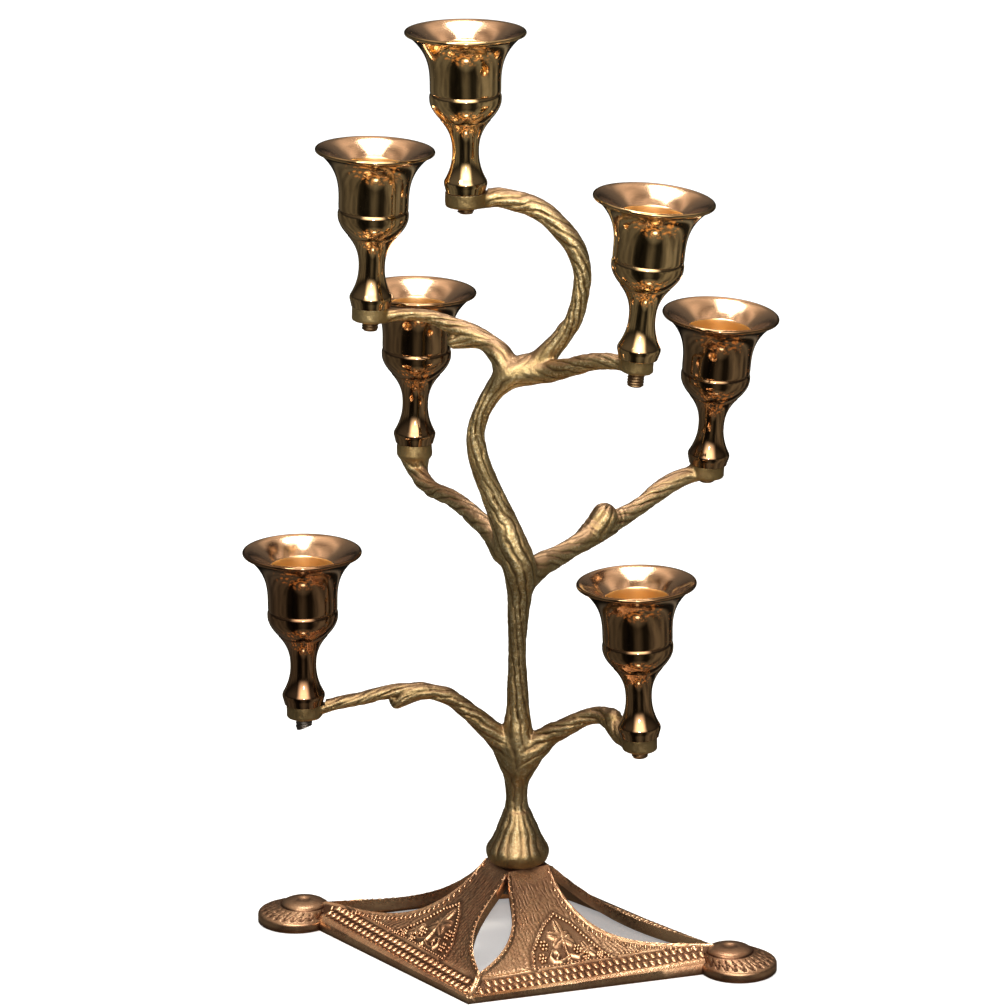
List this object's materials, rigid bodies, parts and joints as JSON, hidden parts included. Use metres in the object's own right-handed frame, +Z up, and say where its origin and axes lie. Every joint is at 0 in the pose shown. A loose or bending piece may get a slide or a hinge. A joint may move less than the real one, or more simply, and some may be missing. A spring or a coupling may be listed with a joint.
{
  "type": "tree candelabrum",
  "caption": "Cast brass candelabrum in the shape of a small tree, with turned candle cups screwed to its branch ends, on a pierced rhombic base.",
  "frame": {"origin": "on the floor plane, under the middle of the whole width and depth; the trunk stands 16.09 mm in front of it and 1.2 mm to its right", "axes": "+Z up; X along the long diagonal of the base, from lobe to lobe; the front corner of the base points to -Y"},
  "size_m": [0.1964, 0.1532, 0.339],
  "materials": {
    "cup_brass": "turned and polished, darkened by lacquer",
    "tree_brass": "cast, brushed on the high spots, dark in the grooves",
    "base_brass": "cast, coppery brown patina with bright high spots",
    "steel": "plain, dull grey"
  },
  "bodies": {
    "frame": {"base": "base_brass", "tree": "tree_brass", "base_screw": "steel", "base_washer": "steel"},
    "stud_top_body": {"stud_top": "steel"},
    "cup_top_body": {"cup_top": "cup_brass"},
    "stud_upper_left_body": {"stud_upper_left": "steel"},
    "cup_upper_left_body": {"cup_upper_left": "cup_brass"},
    "stud_upper_right_body": {"stud_upper_right": "steel"},
    "cup_upper_right_body": {"cup_upper_right": "cup_brass"},
    "stud_middle_left_body": {"stud_middle_left": "steel"},
    "cup_middle_left_body": {"cup_middle_left": "cup_brass"},
    "stud_middle_right_body": {"stud_middle_right": "steel"},
    "cup_middle_right_body": {"cup_middle_right": "cup_brass"},
    "stud_lower_left_body": {"stud_lower_left": "steel"},
    "cup_lower_left_body": {"cup_lower_left": "cup_brass"},
    "stud_lower_right_body": {"stud_lower_right": "steel"},
    "cup_lower_right_body": {"cup_lower_right": "cup_brass"}
  },
  "joints": [
    {"name": "top_lift", "type": "slide", "parent": "frame", "child": "stud_top_body", "axis": [0, 0, 1], "range_m": [0, 0.00751]},
    {"name": "top_unscrew", "type": "hinge", "parent": "stud_top_body", "child": "cup_top_body", "pos_m": [-0.0163, -0.02159, 0.2815], "axis": [0, 0, 1], "range_deg": [0, 2700]},
    {"name": "upper_left_lift", "type": "slide", "parent": "frame", "child": "stud_upper_left_body", "axis": [0.0334, 0.0102, 0.9994], "range_m": [0, 0.00861]},
    {"name": "upper_left_unscrew", "type": "hinge", "parent": "stud_upper_left_body", "child": "cup_upper_left_body", "pos_m": [-0.0548, -0.01209, 0.235], "axis": [0.0334, 0.0102, 0.9994], "range_deg": [0, 3096]},
    {"name": "upper_right_lift", "type": "slide", "parent": "frame", "child": "stud_upper_right_body", "axis": [0.0958, 0, 0.9954], "range_m": [0, 0.01021]},
    {"name": "upper_right_unscrew", "type": "hinge", "parent": "stud_upper_right_body", "child": "cup_upper_right_body", "pos_m": [0.0502, -0.03459, 0.23], "axis": [0.0958, 0, 0.9954], "range_deg": [0, 3672]},
    {"name": "middle_left_lift", "type": "slide", "parent": "frame", "child": "stud_middle_left_body", "axis": [0.025, 0.0077, 0.9997], "range_m": [0, 0.00501]},
    {"name": "middle_left_unscrew", "type": "hinge", "parent": "stud_middle_left_body", "child": "cup_middle_left_body", "pos_m": [-0.0508, 0.02541, 0.175], "axis": [0.025, 0.0077, 0.9997], "range_deg": [0, 1800]},
    {"name": "middle_right_lift", "type": "slide", "parent": "frame", "child": "stud_middle_right_body", "axis": [0.0824, -0.0284, 0.9962], "range_m": [0, 0.00701]},
    {"name": "middle_right_unscrew", "type": "hinge", "parent": "stud_middle_right_body", "child": "cup_middle_right_body", "pos_m": [0.0517, 0.05691, 0.167], "axis": [0.0824, -0.0284, 0.9962], "range_deg": [0, 2520]},
    {"name": "lower_left_lift", "type": "slide", "parent": "frame", "child": "stud_lower_left_body", "axis": [0, 0, 1], "range_m": [0, 0.01001]},
    {"name": "lower_left_unscrew", "type": "hinge", "parent": "stud_lower_left_body", "child": "cup_lower_left_body", "pos_m": [-0.0708, -0.04309, 0.0945], "axis": [0, 0, 1], "range_deg": [0, 3600]},
    {"name": "lower_right_lift", "type": "slide", "parent": "frame", "child": "stud_lower_right_body", "axis": [-0.025, -0.0077, 0.9997], "range_m": [0, 0.00781]},
    {"name": "lower_right_unscrew", "type": "hinge", "parent": "stud_lower_right_body", "child": "cup_lower_right_body", "pos_m": [0.0502, -0.02859, 0.0895], "axis": [-0.025, -0.0077, 0.9997], "range_deg": [0, 2808]}
  ],
  "couplings": [
    {"joint": "top_lift", "follows": "top_unscrew", "m_per_rad": 0.00015915},
    {"joint": "upper_left_lift", "follows": "upper_left_unscrew", "m_per_rad": 0.00015915},
    {"joint": "upper_right_lift", "follows": "upper_right_unscrew", "m_per_rad": 0.00015915},
    {"joint": "middle_left_lift", "follows": "middle_left_unscrew", "m_per_rad": 0.00015915},
    {"joint": "middle_right_lift", "follows": "middle_right_unscrew", "m_per_rad": 0.00015915},
    {"joint": "lower_left_lift", "follows": "lower_left_unscrew", "m_per_rad": 0.00015915},
    {"joint": "lower_right_lift", "follows": "lower_right_unscrew", "m_per_rad": 0.00015915}
  ]
}
